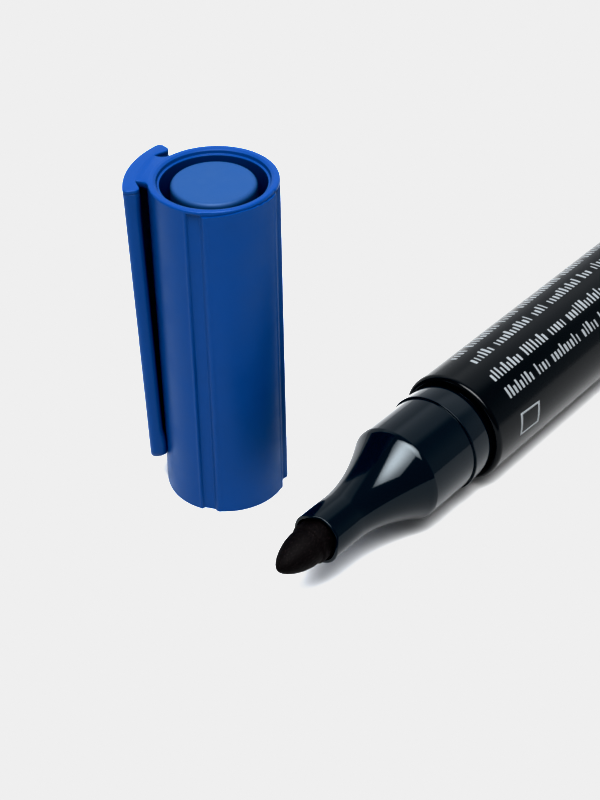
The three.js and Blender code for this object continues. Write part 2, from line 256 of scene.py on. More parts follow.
# %% Moulded and extruded plastic
PP_IOR = 1.49  # polypropylene
BROAD = 22  # tint and roughness stray slowly, over this many grains
LIGHTER = 1.1  # the lightest tint, against the darkest


def plastic(name, colour, roughness, grain, relief, stretch=(1, 1, 1), uneven=0.06, **extra):
    """Polypropylene with a surface relief. grain is the size of its pattern and relief its height, in mm.
    stretch draws the pattern out along an axis, and uneven is how far the roughness strays."""
    material = bpy.data.materials.new(name)
    material.use_nodes = True
    tree = material.node_tree
    shader = tree.nodes["Principled BSDF"]
    place = add(tree, "ShaderNodeTexCoord").outputs["Object"]
    mapped = add(tree, "ShaderNodeMapping", {"Vector": place, "Scale": stretch}).outputs["Vector"]
    fine = add(
        tree, "ShaderNodeTexNoise", {"Vector": mapped, "Scale": per_mm(grain), "Detail": 3, "Roughness": 0.6}
    )
    broad = add(tree, "ShaderNodeTexNoise", {"Vector": mapped, "Scale": per_mm(grain * BROAD), "Detail": 2})
    bump = add(
        tree, "ShaderNodeBump", {"Height": fine.outputs["Fac"], "Distance": relief * MM, "Strength": 1}
    )
    spread = add(
        tree,
        "ShaderNodeMapRange",
        {"Value": broad.outputs["Fac"], "From Min": 0.3, "From Max": 0.7,
         "To Min": roughness - uneven, "To Max": roughness + uneven},
    )
    dark = linear(colour)
    light = tuple(part * LIGHTER for part in dark[:3]) + (1,)
    tint = add(tree, "ShaderNodeMix", {0: broad.outputs["Fac"], 6: dark, 7: light}, data_type="RGBA")
    tree.links.new(tint.outputs[2], shader.inputs["Base Color"])
    tree.links.new(spread.outputs["Result"], shader.inputs["Roughness"])
    tree.links.new(bump.outputs["Normal"], shader.inputs["Normal"])
    shader.inputs["IOR"].default_value = PP_IOR
    for key, value in extra.items():
        shader.inputs[key].default_value = value
    return material


# Deep blue, from a satin mould: soft wide highlights and a very fine grain.
blue_cap_pp = plastic(
    "blue_pp_satin_moulded", "#08416f", 0.4, grain=0.16, relief=0.002, **{"Specular IOR Level": 0.22}
)
# The seal cup is rougher, from a duller mould; its greyer blue is painted sheen, for the light on its top.
blue_cup_painted_sheen_pp = plastic(
    "blue_pp_matt_painted_sheen", "#1d4569", 0.55, grain=0.16, relief=0.003, **{"Specular IOR Level": 0.35}
)
# The clip's inner side isn't seen in use, so its mould is left as spark erosion made it, dull and coarse.
blue_rough_pp = plastic(
    "blue_pp_spark_eroded", "#08416f", 0.8, grain=0.12, relief=0.012, **{"Specular IOR Level": 0.1}
)
# Blue-black, from a polished mould: it mirrors the lamp with a crisp edge.
nose_pp = plastic(
    "blue_black_pp_polished", "#07121a", 0.08, grain=0.5, relief=0.0006, uneven=0.015,
    **{"Specular IOR Level": 0.3, "Specular Tint": (0.94, 1.0, 1.03, 1)}
)
# Near black, drawn out of a die: the relief is forty times longer along the tube than across it.
barrel_pp = plastic(
    "black_pp_extruded", "#070c10", 0.18, grain=0.12, relief=0.0012, stretch=(0.025, 1, 1), uneven=0.04,
    **{"Specular IOR Level": 0.26}
)
print("plastics:", [m.name for m in bpy.data.materials if "pp" in m.name])

# %% Print, felt, fibre and film
# Screen-printed ink: a matt pale grey film, a little uneven in thickness.
print_ink = plastic("screen_print_pale_grey", "#6f7274", 0.55, grain=0.1, relief=0.004)


def fibrous(name, dark, light, size, relief, along, roughness, shine):
    """Bonded fibre. The fibres run along X, so the noise is drawn out along it; a few of them show light."""
    material = bpy.data.materials.new(name)
    material.use_nodes = True
    tree = material.node_tree
    shader = tree.nodes["Principled BSDF"]
    place = add(tree, "ShaderNodeTexCoord").outputs["Object"]
    mapped = add(tree, "ShaderNodeMapping", {"Vector": place, "Scale": (1 / along, 1, 1)}).outputs["Vector"]
    fibres = add(
        tree, "ShaderNodeTexNoise", {"Vector": mapped, "Scale": per_mm(size), "Detail": 4, "Roughness": 0.7}
    ).outputs["Fac"]
    flecks = add(
        tree,
        "ShaderNodeMapRange",
        {"Value": fibres, "From Min": 0.56, "From Max": 0.72, "To Min": 0, "To Max": 1},
    ).outputs["Result"]
    tint = add(tree, "ShaderNodeMix", {0: flecks, 6: linear(dark), 7: linear(light)}, data_type="RGBA")
    bump = add(tree, "ShaderNodeBump", {"Height": fibres, "Distance": relief * MM, "Strength": 1})
    tree.links.new(tint.outputs[2], shader.inputs["Base Color"])
    tree.links.new(bump.outputs["Normal"], shader.inputs["Normal"])
    shader.inputs["Roughness"].default_value = roughness
    shader.inputs["Specular IOR Level"].default_value = shine
    return material


# Polyester felt full of black ink: almost no light comes back, but for a few dry fibre ends.
nib_felt = fibrous(
    "polyester_felt_inked", "#070405", "#2c2426", size=0.14, relief=0.03, along=3, roughness=0.7, shine=0.2
)
# The reservoir's fibre is looser and wet through.
reservoir_fibre = fibrous(
    "polyester_fibre_soaked", "#101018", "#33333c", size=0.2, relief=0.05, along=12, roughness=0.6, shine=0.5
)
# The sleeve round it is a clear film, which shows the dark fibre and a bright edge.
clear_film = plastic(
    "clear_pp_film", "#e9edf0", 0.12, grain=0.6, relief=0.002, **{"Transmission Weight": 0.9}
)


def dress(piece, material, body, slot, *nodes):
    """Gives a piece its material and its body, and hides the CAD nodes that it stands for. slot is not used.
    """
    piece.data.materials.clear()
    piece.data.materials.append(material)
    if nodes:
        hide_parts(*nodes)
    if body:
        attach(piece, body)
    print(f"{piece.name}: {len(piece.data.polygons)} faces on {body or 'two bodies'}")


# %% [markdown]
# ## Ribs round an axis
#
# Three mouldings have ribs that nobody sees: in the barrel's bore they centre the reservoir, round the
# seal cup they hold it in the cap, and in the end plug they stop the reservoir. They repeat round an
# axis, which is work for Geometry Nodes: one tree, whose inputs are the number of ribs and their sizes.
# The tree makes one rib, puts a copy on each of a row of points that all lie on the axis, and turns
# each copy by its own share of the circle.

# %% The rib tree
def socket_ids(tree):
    """Each named input of a tree, with the identifier that a modifier knows it by."""
    items = tree.interface.items_tree
    return {i.name: i.identifier for i in items if getattr(i, "in_out", "") == "INPUT"}


def new_tree(name, **inputs):
    """A Geometry Nodes tree with a geometry input and named inputs, whose kind follows their values."""
    tree = bpy.data.node_groups.new(name, "GeometryNodeTree")
    tree.interface.new_socket("Geometry", in_out="INPUT", socket_type="NodeSocketGeometry")
    tree.interface.new_socket("Geometry", in_out="OUTPUT", socket_type="NodeSocketGeometry")
    kinds = {int: "NodeSocketInt", float: "NodeSocketFloat"}
    for key, value in inputs.items():
        made = tree.interface.new_socket(
            key.replace("_", " "), in_out="INPUT", socket_type=kinds[type(value)]
        )
        made.default_value = value
    return tree, add(tree, "NodeGroupInput").outputs


def rib_tree():
    """The tree, and its last node, which holds the material."""
    tree, given = new_tree(
        "ribs_round_an_axis", Count=6, Width=0.8, Inner=5.0, Outer=6.0, Start=0.0, Length=10.0, Turn=0.0
    )
    height = add(tree, "ShaderNodeMath", {0: given["Outer"], 1: given["Inner"]}, operation="SUBTRACT")
    total = add(tree, "ShaderNodeMath", {0: given["Outer"], 1: given["Inner"]}, operation="ADD")
    middle = add(tree, "ShaderNodeMath", {0: total, 1: 0.5}, operation="MULTIPLY")
    half = add(tree, "ShaderNodeMath", {0: given["Length"], 1: 0.5}, operation="MULTIPLY")
    along = add(tree, "ShaderNodeMath", {0: given["Start"], 1: half}, operation="ADD")
    size = add(tree, "ShaderNodeCombineXYZ", {"X": height, "Y": given["Width"], "Z": given["Length"]})
    away = add(tree, "ShaderNodeCombineXYZ", {"X": middle, "Z": along})
    bar = add(tree, "GeometryNodeMeshCube", {"Size": size})
    rib = add(tree, "GeometryNodeTransform", {"Geometry": bar, "Translation": away})
    points = add(tree, "GeometryNodePoints", {"Count": given["Count"]})
    number = add(tree, "GeometryNodeInputIndex")
    share = add(tree, "ShaderNodeMath", {0: number, 1: given["Count"]}, operation="DIVIDE")
    circle = add(tree, "ShaderNodeMath", {0: share, 1: 2 * math.pi}, operation="MULTIPLY")
    first = add(tree, "ShaderNodeMath", {0: given["Turn"]}, operation="RADIANS")
    turn = add(tree, "ShaderNodeMath", {0: circle, 1: first}, operation="ADD")
    rotation = add(tree, "ShaderNodeCombineXYZ", {"Z": turn})
    copies = add(
        tree, "GeometryNodeInstanceOnPoints", {"Points": points, "Instance": rib, "Rotation": rotation}
    )
    real = add(tree, "GeometryNodeRealizeInstances", {"Geometry": copies})
    both = add(tree, "GeometryNodeJoinGeometry", {"Geometry": [given["Geometry"], real]})
    painted = add(tree, "GeometryNodeSetMaterial", {"Geometry": both})
    add(tree, "NodeGroupOutput", {"Geometry": painted})
    return tree, painted


ribs, ribs_paint = rib_tree()
print("the rib tree's inputs:", list(socket_ids(ribs)))


# %% Grow something on a piece
def applied(piece, modifier):
    """Keeps what a modifier makes of a piece as its plain mesh, and removes the modifier."""
    bpy.context.view_layer.update()
    result = bpy.data.meshes.new_from_object(piece.evaluated_get(bpy.context.evaluated_depsgraph_get()))
    piece.modifiers.remove(modifier)
    piece.data = result
    result.name = piece.name
    return result


def grown(piece, tree, paint, material, place, **inputs):
    """Runs a tree on a piece and keeps the result as its plain mesh. The piece stays on its board in
    millimetres while the tree works, and goes to its place afterwards."""
    paint.inputs["Material"].default_value = material
    modifier = piece.modifiers.new(tree.name, "NODES")
    modifier.node_group = tree
    ids = socket_ids(tree)
    for key, value in inputs.items():
        modifier[ids[key.replace("_", " ")]] = value
    applied(piece, modifier).transform(place)


HERE = Matrix.Identity(4)  # for a piece that stays on its board for now

# %% [markdown]
# ## Barrel
#
# The barrel is a plain extruded tube, cut to length. It lies on the table, so its radius is half the
# height of the CAD barrel's box. Its front rim shows as a bright line round the dark groove behind the
# snap collar. A small radius would leave that line thinner than a pixel, so the rim's outer edge curves
# over most of the wall's thickness. The collar's edge that faces it gets a smaller curve of that kind.

# %% The barrel and its ribs
BORE = 7.15
REAR_EDGE = 0.42
FRONT_EDGE = 0.8
RESERVOIR_ROOM = 5.95  # the radius that the pieces round the reservoir leave free
RIB_START = 12.2  # behind the nose's spigot
RIB_LENGTH = 57.6  # up to the end plug


def soft_corner(start, corner, end, steps=8):
    """A corner that curves all the way from start to end. The points need no rounding of their own."""
    points = []
    for step in range(steps + 1):
        t = step / steps
        bent = [(1 - t) ** 2 * a + 2 * t * (1 - t) * b + t**2 * c for a, b, c in zip(start, corner, end)]
        points.append((*bent, 0))
    return points


tube = [
    (0, BORE + 0.2, 0.05),
    *soft_corner((0, BARREL_RADIUS - FRONT_EDGE), (0, BARREL_RADIUS), (FRONT_EDGE, BARREL_RADIUS)),
    (BARREL_LENGTH, BARREL_RADIUS, REAR_EDGE),
    (BARREL_LENGTH, BORE, 0.1),
    (0.25, BORE, 0.1),
]
barrel = lathe("barrel_tube", rounded(tube)[::-1], HERE)
grown(
    barrel, ribs, ribs_paint, barrel_pp, MARKER,
    Count=6, Width=0.8, Inner=RESERVOIR_ROOM, Outer=BORE + 0.3, Start=RIB_START, Length=RIB_LENGTH, Turn=0.0,
)
dress(barrel, barrel_pp, "marker", "barrel_black", "barrel")

# %% [markdown]
# ## Nose section
#
# One moulding holds everything at the front: a spigot in the barrel, the snap collar that the cap
# clicks over, a straight part, a cone that curves inwards like a trumpet, and the neck round the nib.
# The lip of the neck isn't a flat ring. Two long hollows in it let air in while ink runs out, which
# leaves two blunt teeth. The lathe turns the whole profile and a function of the angle sinks the lip.

# %% The nose's profile
SPIGOT_LENGTH = 12
SPIGOT_RADIUS = 7.05
GROOVE_RADIUS = 6.7
COLLAR_BACK = -0.45
COLLAR_FRONT = -4.4
COLLAR_RADIUS = 7.46
STRAIGHT_RADIUS = 7.2
STRAIGHT_FRONT = -13.4
NECK_BACK = -24.4
MOUTH = -30.1
NECK_RADIUS = 3.64
CONE_ROOT = 7.05
CONE_HOLLOW = 1.8  # how fast the trumpet flattens into the neck
CONE_CROWDING = 1.25  # how much closer together its points are near the neck
NIB_BORE = 2.6
MOUTH_BORE = 3.1  # wider in front, to fit round the nib's shank
MOUTH_DEPTH = 6


def cone(steps=44):
    """The trumpet's outer side, from the neck to the shoulder, closer together near the neck."""
    points = []
    for i in range(1, steps):
        share = (i / steps) ** CONE_CROWDING
        radius = NECK_RADIUS + (CONE_ROOT - NECK_RADIUS) * share**CONE_HOLLOW
        points.append((NECK_BACK + (STRAIGHT_FRONT - NECK_BACK) * share, radius, 0))
    return points


nose_corners = [
    (MOUTH + 0.25, MOUTH_BORE, 0.1),
    (MOUTH, 3.16, 0.1),
    (MOUTH, NECK_RADIUS, 0.3),
    (NECK_BACK, NECK_RADIUS, 0),
    *cone(),
    (STRAIGHT_FRONT, CONE_ROOT, 0),
    (STRAIGHT_FRONT + 0.45, STRAIGHT_RADIUS, 0.45),
    (COLLAR_FRONT, STRAIGHT_RADIUS, 0.05),
    (COLLAR_FRONT, COLLAR_RADIUS, 0.24),
    *soft_corner((COLLAR_BACK - 0.5, 7.285), (COLLAR_BACK, 7.26), (COLLAR_BACK, 6.8)),
    (COLLAR_BACK, GROOVE_RADIUS, 0.1),
    (0.25, GROOVE_RADIUS, 0.05),
    (0.25, SPIGOT_RADIUS, 0.05),
    (SPIGOT_LENGTH, SPIGOT_RADIUS, 0.15),
    (SPIGOT_LENGTH, RESERVOIR_ROOM, 0.1),
    (STRAIGHT_FRONT, RESERVOIR_ROOM, 0.3),
    (STRAIGHT_FRONT - 5, NIB_BORE, 0.3),
    (MOUTH + MOUTH_DEPTH, NIB_BORE, 0.05),
    (MOUTH + MOUTH_DEPTH, MOUTH_BORE, 0.05),
]

# %% The scalloped lip
HOLLOW_TURNS = (125, 305)  # degrees round from the far side
HOLLOW_DEPTH = 0.62
HOLLOW_FLANK = (24, 56)  # degrees from its middle, where its side starts and ends


def scalloped(along, radius, angle):
    """Sinks the lip where the two hollows are. The effect fades out two millimetres behind it."""
    near_lip = 1 - ease(along, MOUTH + 0.3, MOUTH + 2.4)
    if near_lip == 0:
        return along, radius
    turn = min(abs((math.degrees(angle) - t + 180) % 360 - 180) for t in HOLLOW_TURNS)
    return along + HOLLOW_DEPTH * near_lip * (1 - ease(turn, *HOLLOW_FLANK)), radius


def with_rows(profile, rows):
    """Adds rows to the long straight stretch of a profile at their radius, so that it can bend there."""
    radius = rows[0][1]
    pairs = list(zip(profile, profile[1:] + profile[:1]))
    first = next(
        i
        for i, (a, b) in enumerate(pairs)
        if abs(a[1] - radius) < TINY and abs(b[1] - radius) < TINY and abs(b[0] - a[0]) > 3
    )
    start, end = pairs[first][0][0], pairs[first][1][0]
    inside = [row for row in rows if min(start, end) + 0.05 < row[0] < max(start, end) - 0.05]
    return profile[: first + 1] + inside[:: 1 if end > start else -1] + profile[first + 1 :]


# %% The nose section
neck_rows = [(MOUTH + 0.55 + 0.35 * i, NECK_RADIUS) for i in range(15)]
bore_rows = [(MOUTH + 0.6 + 0.5 * i, MOUTH_BORE) for i in range(10)]
nose_profile = with_rows(with_rows(rounded(nose_corners), neck_rows), bore_rows)
nose = lathe("nose_moulding", nose_profile[::-1], MARKER, angles=240, shape=scalloped)
dress(nose, nose_pp, "marker", "nose_black", "nose_section")

# %% [markdown]
# ## Nib
#
# The nib is a rod of polyester fibres bonded with resin and ground to a bullet. Up close the ground
# surface is slightly woolly. The lathe makes the rod, and a displacement of a few hundredths of a
# millimetre, drawn out along the fibres, breaks up its outline.

# %% The nib
BULLET_BACK = -32.4
BULLET_LENGTH = 5.2
NIB_RADIUS = 2.6
SHANK_RADIUS = 2.9
SHANK_BACK = -24.3
WICK_RADIUS = 2.4  # of the rear part, which dips into the reservoir
WOOL = 0.035  # how far the fibres stand out or lie deep


def bullet(steps=34):
    """The bullet's side, from its tip to its foot."""
    points = []
    for i in range(steps + 1):
        share = math.cos(math.pi / 2 * i / steps)
        points.append((BULLET_BACK - BULLET_LENGTH * share, NIB_RADIUS * (1 - share**1.5) ** 0.58))
    return points


def woolly(along, radius, angle):
    """Moves a point by the fibres' noise, less towards the tip, where the grinding was finest."""
    spot = Vector((along * 1.6, radius * math.cos(angle) * 6, radius * math.sin(angle) * 6))
    amount = WOOL * noise.fractal(spot, 0.9, 2.1, 4) * min(radius / 1.2, 1)
    return along + amount * 0.3, radius + amount


shank_front = [
    (-31.9, NIB_RADIUS, 0),
    (-31.6, NIB_RADIUS, 0.15),
    (-31.3, SHANK_RADIUS, 0.15),
    (-30.6, SHANK_RADIUS, 0),
]
nib_back = [
    (BULLET_BACK + 0.4, NIB_RADIUS),
    *rounded(shank_front, closed=False),
    *[(-30.2 + 0.8 * i, SHANK_RADIUS) for i in range(7)],
    (SHANK_BACK, SHANK_RADIUS),
    (SHANK_BACK, WICK_RADIUS),
    *[(-23.5 + 2 * i, WICK_RADIUS) for i in range(11)],
    (-1.3, WICK_RADIUS),
    (0.1, 1.2),
    (0.1, 0),
]
nib = lathe("nib_felt_rod", (bullet() + nib_back)[::-1], MARKER, angles=160, shape=woolly, closed=False)
dress(nib, nib_felt, "marker", "nib_felt", "nib")

# %% [markdown]
# ## End plug
#
# The rear of the barrel is closed by a plug in the cap's blue. Behind the barrel it has the collar's
# diameter, so that the cap can be pushed on. Its end is slightly dished, with the round mark that the
# mould's gate leaves in the middle. Its profile runs along the axis, so it is cut open there.

# %% The end plug
TAIL_END = BARREL_LENGTH + 10
PLUG_START = BARREL_LENGTH - 8
plug_corners = [
    (PLUG_START, RESERVOIR_ROOM, 0.1),
    (PLUG_START, SPIGOT_RADIUS, 0.2),
    (BARREL_LENGTH + 0.2, SPIGOT_RADIUS, 0.05),
    (BARREL_LENGTH + 0.2, COLLAR_RADIUS, 0.15),
    (TAIL_END, COLLAR_RADIUS, 0.8),
    (TAIL_END, 5.4, 0.2),
    (TAIL_END - 0.35, 5.0, 0.3),
    (TAIL_END - 0.35, 0.75, 0.05),
    (TAIL_END - 0.2, 0.7, 0.05),
    (TAIL_END - 0.2, 0, 0),
    (TAIL_END - 1.5, 0, 0),
    (TAIL_END - 1.5, RESERVOIR_ROOM, 0.3),
]
plug = lathe("end_plug_moulding", opened(rounded(plug_corners))[::-1], HERE, closed=False)
grown(
    plug, ribs, ribs_paint, blue_cap_pp, MARKER,
    Count=4, Width=0.9, Inner=0.0, Outer=6.3, Start=TAIL_END - 6.5, Length=5.4, Turn=0.0,
)
dress(plug, blue_cap_pp, "marker", "cap_blue", "end_plug")

# %% [markdown]
# ## Print on the barrel
#
# The barrel carries four rows of small print and an empty four-sided mark. The words aren't copied:
# narrow blocks, as tall and as close together as letters, stand in for them in word-like groups. Screen
# print is a raised film of ink, so each block is real geometry, 0.02 mm thick. The layout is drawn flat,
# with one loose point for each block, and Geometry Nodes put a block on each point and then roll the
# whole sheet round the barrel.

# %% Where the blocks go
ROWS = [  # the row's angle in degrees from the far side, its start and its end along the barrel
    (62, 5.4, 52.0),
    (86, 5.6, 56.5),
    (113, 4.9, 54.0),
    (135, 5.2, 50.5),
]
LETTER_PITCH = 0.8
WORD_GAP = 0.75
WORDS = (4, 9, 5, 13, 7, 6, 11, 4, 10, 3, 9, 7, 5, 12, 6, 8)  # blocks in each word
ROW_SHIFT = 5  # each row starts this many words further on


def row_points():
    """One point for each block, as (around, along) on the flat sheet."""
    points = []
    for number, (turn, start, end) in enumerate(ROWS):
        along, word = start, ROW_SHIFT * number
        while along < end:
            for _ in range(WORDS[word % len(WORDS)]):
                if along < end:
                    points.append((math.radians(turn) * BARREL_RADIUS, along))
                along += LETTER_PITCH
            along += WORD_GAP
            word += 1
    return points


# %% The empty mark
MARK = [(158, 5.6), (160, 10.2), (183, 9.6), (181, 4.9)]  # degrees round, mm along
LINE = 0.4  # its width; at a corner the inner point lies half as far in again
EDGE_STEPS = 6


def mark_frame():
    """The outline of a four-sided mark on the flat sheet: a strip along each side, in short steps."""
    outer = [np.array([math.radians(turn) * BARREL_RADIUS, along]) for turn, along in MARK]
    middle = sum(outer) / 4
    inner = [p + (middle - p) * LINE * 1.5 / np.linalg.norm(middle - p) for p in outer]
    vertices, faces = [], []
    for i in range(4):
        j = (i + 1) % 4
        for step in range(EDGE_STEPS):
            share = step / EDGE_STEPS
            vertices += [outer[i] + (outer[j] - outer[i]) * share, inner[i] + (inner[j] - inner[i]) * share]
    count = len(vertices)
    for k in range(0, count, 2):
        faces.append((k, (k + 2) % count, (k + 3) % count, k + 1))
    return vertices, faces


# %% The tree that prints
def print_tree():
    """The tree, and its last node, which holds the material."""
    tree, given = new_tree(
        "print_on_a_tube", Radius=8.28, Thickness=0.02, Letter_Width=0.8, Letter_Height=1.0, Tall_Share=0.3,
        Tall_Extra=0.5, Seed=4,
    )
    # The loose points are the blocks' places; whatever has faces is the drawn outline.
    faces_near = add(tree, "GeometryNodeInputMeshVertexNeighbors").outputs["Face Count"]
    loose = add(tree, "FunctionNodeCompare", {2: faces_near, 3: 0}, data_type="INT", operation="EQUAL")
    parts = add(
        tree, "GeometryNodeSeparateGeometry", {"Geometry": given["Geometry"], "Selection": loose}
    ).outputs
    # One block: a small grid whose corners are drawn in.
    grid = add(
        tree, "GeometryNodeMeshGrid", {"Size X": 1.0, "Size Y": 1.0, "Vertices X": 4, "Vertices Y": 4}
    )
    spot = add(tree, "GeometryNodeInputPosition")
    reach = add(tree, "ShaderNodeVectorMath", {0: spot}, operation="LENGTH").outputs["Value"]
    corner = add(tree, "FunctionNodeCompare", {0: reach, 1: 0.6}, operation="GREATER_THAN")
    drawn = add(tree, "ShaderNodeVectorMath", {0: spot, "Scale": 0.93}, operation="SCALE")
    block = add(
        tree, "GeometryNodeSetPosition", {"Geometry": grid, "Selection": corner, "Position": drawn}
    )
    # Every block has its own width, and some stand taller, as letters do.
    width = add(
        tree, "FunctionNodeRandomValue", {2: 0.6, 3: 1.1, "Seed": given["Seed"]}, data_type="FLOAT"
    ).outputs[1]
    wide = add(tree, "ShaderNodeMath", {0: width, 1: given["Letter Width"]}, operation="MULTIPLY")
    next_seed = add(tree, "ShaderNodeMath", {0: given["Seed"], 1: 1.0}, operation="ADD")
    tall = add(
        tree,
        "FunctionNodeRandomValue",
        {"Probability": given["Tall Share"], "Seed": next_seed},
        data_type="BOOLEAN",
    ).outputs[3]
    extra = add(tree, "ShaderNodeMath", {0: tall, 1: given["Tall Extra"]}, operation="MULTIPLY")
    height = add(tree, "ShaderNodeMath", {0: given["Letter Height"], 1: extra}, operation="ADD")
    size = add(tree, "ShaderNodeCombineXYZ", {"X": height, "Y": wide, "Z": 1.0})
    # A tall block keeps its foot on the line.
    rise = add(tree, "ShaderNodeMath", {0: extra, 1: -0.5}, operation="MULTIPLY")
    lift = add(tree, "ShaderNodeCombineXYZ", {"X": rise})
    places = add(tree, "GeometryNodeSetPosition", {"Geometry": parts["Selection"], "Offset": lift})
    blocks = add(
        tree, "GeometryNodeInstanceOnPoints", {"Points": places, "Instance": block, "Scale": size}
    )
    real = add(tree, "GeometryNodeRealizeInstances", {"Geometry": blocks})
    sheet = add(tree, "GeometryNodeJoinGeometry", {"Geometry": [parts["Inverted"], real]})
    # The ink's thickness, with its underside kept, so that every block is closed.
    raised = add(
        tree,
        "GeometryNodeExtrudeMesh",
        {"Mesh": sheet, "Offset Scale": given["Thickness"], "Individual": False},
    )
    under = add(tree, "GeometryNodeFlipFaces", {"Mesh": sheet})
    closed = add(tree, "GeometryNodeJoinGeometry", {"Geometry": [raised, under]})
    merged = add(tree, "GeometryNodeMergeByDistance", {"Geometry": closed, "Distance": 0.0005})
    # Rolling: the distance round becomes an angle, and the height above the sheet is added to the radius.
    place = add(tree, "GeometryNodeInputPosition")
    flat = add(tree, "ShaderNodeSeparateXYZ", {0: place}).outputs
    angle = add(tree, "ShaderNodeMath", {0: flat["X"], 1: given["Radius"]}, operation="DIVIDE")
    reach = add(tree, "ShaderNodeMath", {0: given["Radius"], 1: flat["Z"]}, operation="ADD")
    tube_place = {"Z": flat["Y"]}
    for axis, wave in (("X", "COSINE"), ("Y", "SINE")):
        share = add(tree, "ShaderNodeMath", {0: angle}, operation=wave)
        tube_place[axis] = add(tree, "ShaderNodeMath", {0: reach, 1: share}, operation="MULTIPLY")
    rolled = add(tree, "ShaderNodeCombineXYZ", tube_place)
    tube_print = add(tree, "GeometryNodeSetPosition", {"Geometry": merged, "Position": rolled})
    painted = add(tree, "GeometryNodeSetMaterial", {"Geometry": tube_print})
    add(tree, "NodeGroupOutput", {"Geometry": painted})
    return tree, painted


# %% Print the barrel
INK_LIFT = 0.004  # clear of the tube, so that the two surfaces don't flicker
mark_vertices, mark_faces = mark_frame()
sheet_points = mark_vertices + row_points()
barrel_print = finished("barrel_print", [(x, y, INK_LIFT) for x, y in sheet_points], mark_faces, HERE)
printing, printing_paint = print_tree()
grown(
    barrel_print, printing, printing_paint, print_ink, MARKER,
    Radius=BARREL_RADIUS, Thickness=0.02, Letter_Width=0.5, Letter_Height=1.25, Tall_Share=0.35,
    Tall_Extra=0.55, Seed=4,
)
dress(barrel_print, print_ink, "marker", "barrel_black")
print(f"{len(sheet_points) - len(mark_vertices)} blocks")

# %% [markdown]
# ## Cap shell
#
# The shell tapers very slightly, is open at both ends and has a rounded rim with a small step inside it.
# Three shallow channels run up it, and end just below the rim. One wall of each is steep and the other
# slopes, and both have a faint raised lip. Between two of the channels the wall stands about a tenth of
# a millimetre proud, up to a fine wavy edge just below the rim, where two parts of the mould met. The
# lathe needs points where the channels' edges are, so it gets a list of angles that is dense there and
# open elsewhere.

# %% The shell's profile and channels
TOP_RADIUS = 8.5
MOUTH_RADIUS = 8.6
VENT = 7.05
CHANNEL_HALF = 1.0
CHANNEL_FLOOR = 8.14
CHANNEL_TOP = CAP_HEIGHT - 0.5
CHANNEL_TURNS = (92, 182, 272)  # degrees round from the clip
CHANNEL_LIP = 0.07
# Of the steep and the sloping side, in mm from the edge: start, end, the lip's place and its width.
CHANNEL_WALLS = ((-0.2, 0.05, 0.16, 0.13), (-0.4, 0.2, 0.42, 0.24))
OUTSIDE = 8.0  # whatever is further out than this belongs to the outer side
RIM_ROUND = 0.28
PANEL = (98, 178)  # degrees round, between two channels
PANEL_DROP = ((0, 0.45, 1), (0.74, 0.4, 0.6))  # how far below the rim the panel's top is, from end to end
PANEL_PROUD = 0.09
PANEL_LEDGE = 0.13  # how far the rim above it is drawn back
PANEL_WAVE = (0.03, 0.13)  # how far its edge strays, and how much more past its middle
PANEL_ROW = CAP_HEIGHT - 0.55  # the lathe's row that the panel's edge takes along with it


def shell_angles():
    """Round the cap in steps of 1.5 degrees, with more points close to each channel's two edges."""
    # In half widths of a channel: the steep wall, then the slope.
    near = [-1.6, -1.4, -1.28, -1.2, -1.12, -1.05, -0.98, -0.91, -0.84, -0.77, -0.6, -0.3, 0, 0.2]
    near += [0.38 + 0.09 * step for step in range(18)]
    turns = []
    for middle in CHANNEL_TURNS:
        turns += [middle + math.degrees(math.asin(n * CHANNEL_HALF / CHANNEL_FLOOR)) for n in near]
    for turn in np.arange(0, 360, 1.5):
        if min(abs(turn - t) for t in turns) > 1.0:
            turns.append(turn)
    return [math.radians(t) for t in sorted(turns)]


def channelled(along, radius, angle):
    """Cuts the channels into the outside and lets the panel between two of them stand proud."""
    if radius < OUTSIDE:
        return along, radius
    turn = math.degrees(angle)
    below_top = 1 - ease(along, CHANNEL_TOP - 0.3, CHANNEL_TOP + 0.15)
    if PANEL[0] < turn < PANEL[1]:
        share = (turn - PANEL[0]) / (PANEL[1] - PANEL[0])
        ends = ease(share, 0, 0.03) * ease(1 - share, 0, 0.03)
        below = ease(along, PANEL_ROW - 6, PANEL_ROW - 0.5) if along <= PANEL_ROW else 0
        above = ease(radius, OUTSIDE, OUTSIDE + 0.35) if along > PANEL_ROW else 0
        radius += ends * (PANEL_PROUD * below - PANEL_LEDGE * above)
        stray = PANEL_WAVE[0] + PANEL_WAVE[1] * ease(share, 0.5, 0.8)
        wave = stray * noise.noise(Vector((turn * 0.25, 3.1, 0)))
        edge = min(CAP_HEIGHT - float(np.interp(share, *PANEL_DROP)) + wave, CAP_HEIGHT - RIM_ROUND - 0.06)
        near = ease(along, PANEL_ROW - 2.5, PANEL_ROW - 0.1)
        near *= 1 - ease(along, PANEL_ROW + 0.03, CAP_HEIGHT - RIM_ROUND)
        along += (edge - PANEL_ROW) * near * ends
    for middle in CHANNEL_TURNS:
        off = math.radians((turn - middle + 180) % 360 - 180)
        if abs(off) < 0.3:
            start, end, spot, width = CHANNEL_WALLS[off > 0]
            across = abs(CHANNEL_FLOOR * math.sin(off)) - CHANNEL_HALF
            depth = radius - min(CHANNEL_FLOOR / math.cos(off), radius)
            radius -= depth * below_top * (1 - ease(across, start, end))
            lip = math.exp(-(((across - spot) / width) ** 2))
            radius += CHANNEL_LIP * lip * below_top
    return along, radius


shell_corners = [
    (0, 7.62, 0.05),
    (0, MOUTH_RADIUS, 0.12),
    (CAP_HEIGHT, TOP_RADIUS, RIM_ROUND),
    (CAP_HEIGHT, 7.75, 0.3),
    (CAP_HEIGHT - 0.18, VENT + 0.34, 0.12),
    (CAP_HEIGHT - 0.6, VENT + 0.22, 0.1),
    (CAP_HEIGHT - 0.66, VENT - 0.08, 0.1),
    (0.1, 7.56, 0.05),
]
shell_profile = rounded(shell_corners)
